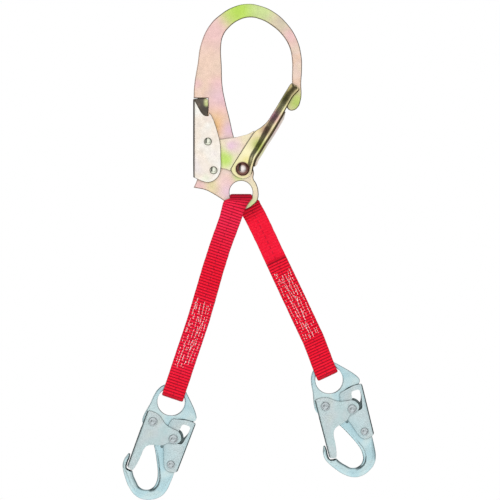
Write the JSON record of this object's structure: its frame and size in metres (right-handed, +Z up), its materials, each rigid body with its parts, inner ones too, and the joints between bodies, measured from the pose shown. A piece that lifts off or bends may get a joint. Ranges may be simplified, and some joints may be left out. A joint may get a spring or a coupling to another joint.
{
  "type": "shock absorbing lanyard",
  "caption": "Positioning lanyard: a large gated scaffold hook and a folded red web strap whose legs each end in a double-locking snap hook.",
  "frame": {"origin": "underside of the large hook's top arc, half way through the plate, where a bar holds it up", "axes": "+Z up along the hanging direction, +X to the right seen from the front, front face of the plates towards -Y"},
  "size_m": [0.3007, 0.0212, 0.5903],
  "materials": {
    "yellow_zinc": "iridescent yellow zinc plating, satin",
    "bare_rivet": "polished steel rivet head",
    "silver_zinc": "pale blue-grey zinc plating, satin",
    "spring_wire": "drawn wire",
    "red_web": "ribbed woven strap, matt",
    "thread": "white sewing thread"
  },
  "bodies": {
    "hook": {"rebar_hook_body": "yellow_zinc", "rebar_gate_rivet": "bare_rivet", "rebar_gate_spring": "spring_wire", "rebar_lever_rivet": "bare_rivet", "rebar_lever_spring": "spring_wire"},
    "rebar_gate_arm": {"rebar_gate": "yellow_zinc"},
    "rebar_lever_arm": {"rebar_lock_lever": "yellow_zinc", "rebar_lock_pin": "bare_rivet"},
    "left_leg_upper": {"left_web_upper": "red_web"},
    "left_leg_lower": {"left_web_lower": "red_web", "left_web_stitching": "thread"},
    "left_snap": {"left_snap_body": "silver_zinc", "left_snap_gate_rivet": "silver_zinc", "left_snap_gate_spring": "spring_wire", "left_snap_lever_rivet": "silver_zinc", "left_snap_lever_spring": "spring_wire"},
    "left_snap_gate_arm": {"left_snap_gate": "silver_zinc", "left_snap_lock_pin": "silver_zinc"},
    "left_snap_lever_arm": {"left_snap_lock_lever": "silver_zinc"},
    "right_leg_upper": {"right_web_upper": "red_web"},
    "right_leg_lower": {"right_web_lower": "red_web", "right_web_stitching": "thread"},
    "right_snap": {"right_snap_body": "silver_zinc", "right_snap_gate_rivet": "silver_zinc", "right_snap_gate_spring": "spring_wire", "right_snap_lever_rivet": "silver_zinc", "right_snap_lever_spring": "spring_wire"},
    "right_snap_gate_arm": {"right_snap_gate": "silver_zinc", "right_snap_lock_pin": "silver_zinc"},
    "right_snap_lever_arm": {"right_snap_lock_lever": "silver_zinc"}
  },
  "joints": [
    {"name": "rebar_lever_squeeze", "type": "hinge", "parent": "hook", "child": "rebar_lever_arm", "pos_m": [-0.0482, 0, -0.14792], "axis": [0, 1, 0], "range_deg": [0, 15], "stiffness_Nm_per_rad": 0.6, "springref_deg": -28.65},
    {"name": "rebar_gate_open", "type": "hinge", "parent": "hook", "child": "rebar_gate_arm", "pos_m": [-0.00702, 0, -0.1804], "axis": [0, -1, 0], "range_deg": [0, 32], "stiffness_Nm_per_rad": 0.4, "springref_deg": -28.65},
    {"name": "left_leg_swing", "type": "hinge", "parent": "hook", "child": "left_leg_upper", "pos_m": [-0.00893, 0, -0.20825], "axis": [0, 1, 0], "range_deg": [-7, 55]},
    {"name": "left_web_flex", "type": "hinge", "parent": "left_leg_upper", "child": "left_leg_lower", "pos_m": [-0.02477, -0.0052, -0.25565], "axis": [0.9484, 0, -0.317], "range_deg": [-25, 25]},
    {"name": "left_snap_tilt", "type": "hinge", "parent": "left_leg_lower", "child": "left_snap", "pos_m": [-0.09211, 0, -0.4572], "axis": [0, 1, 0], "range_deg": [-15, 35]},
    {"name": "left_snap_lever_squeeze", "type": "hinge", "parent": "left_snap", "child": "left_snap_lever_arm", "pos_m": [-0.09232, 0, -0.53181], "axis": [0, -1, 0], "range_deg": [0, 12], "stiffness_Nm_per_rad": 0.4, "springref_deg": -28.65},
    {"name": "left_snap_gate_open", "type": "hinge", "parent": "left_snap", "child": "left_snap_gate_arm", "pos_m": [-0.11361, 0, -0.48068], "axis": [0, -1, 0], "range_deg": [0, 24], "stiffness_Nm_per_rad": 0.2, "springref_deg": -28.65},
    {"name": "right_leg_swing", "type": "hinge", "parent": "hook", "child": "right_leg_upper", "pos_m": [-0.00893, 0, -0.20825], "axis": [0, -1, 0], "range_deg": [-10, 50]},
    {"name": "right_web_flex", "type": "hinge", "parent": "right_leg_upper", "child": "right_leg_lower", "pos_m": [0.01234, 0.0052, -0.25348], "axis": [0.905, 0, 0.4255], "range_deg": [-25, 25]},
    {"name": "right_snap_tilt", "type": "hinge", "parent": "right_leg_lower", "child": "right_snap", "pos_m": [0.0958, 0, -0.43102], "axis": [0, -1, 0], "range_deg": [-15, 35]},
    {"name": "right_snap_lever_squeeze", "type": "hinge", "parent": "right_snap", "child": "right_snap_lever_arm", "pos_m": [0.13798, 0, -0.49256], "axis": [0, -1, 0], "range_deg": [0, 12], "stiffness_Nm_per_rad": 0.4, "springref_deg": -28.65},
    {"name": "right_snap_gate_open", "type": "hinge", "parent": "right_snap", "child": "right_snap_gate_arm", "pos_m": [0.09143, 0, -0.46256], "axis": [0, -1, 0], "range_deg": [0, 24], "stiffness_Nm_per_rad": 0.2, "springref_deg": -28.65}
  ],
  "couplings": [
    {"joint": "rebar_gate_open", "follows": "rebar_lever_squeeze", "ratio": 2.13},
    {"joint": "left_snap_gate_open", "follows": "left_snap_lever_squeeze", "ratio": 2},
    {"joint": "right_snap_gate_open", "follows": "right_snap_lever_squeeze", "ratio": 2}
  ]
}
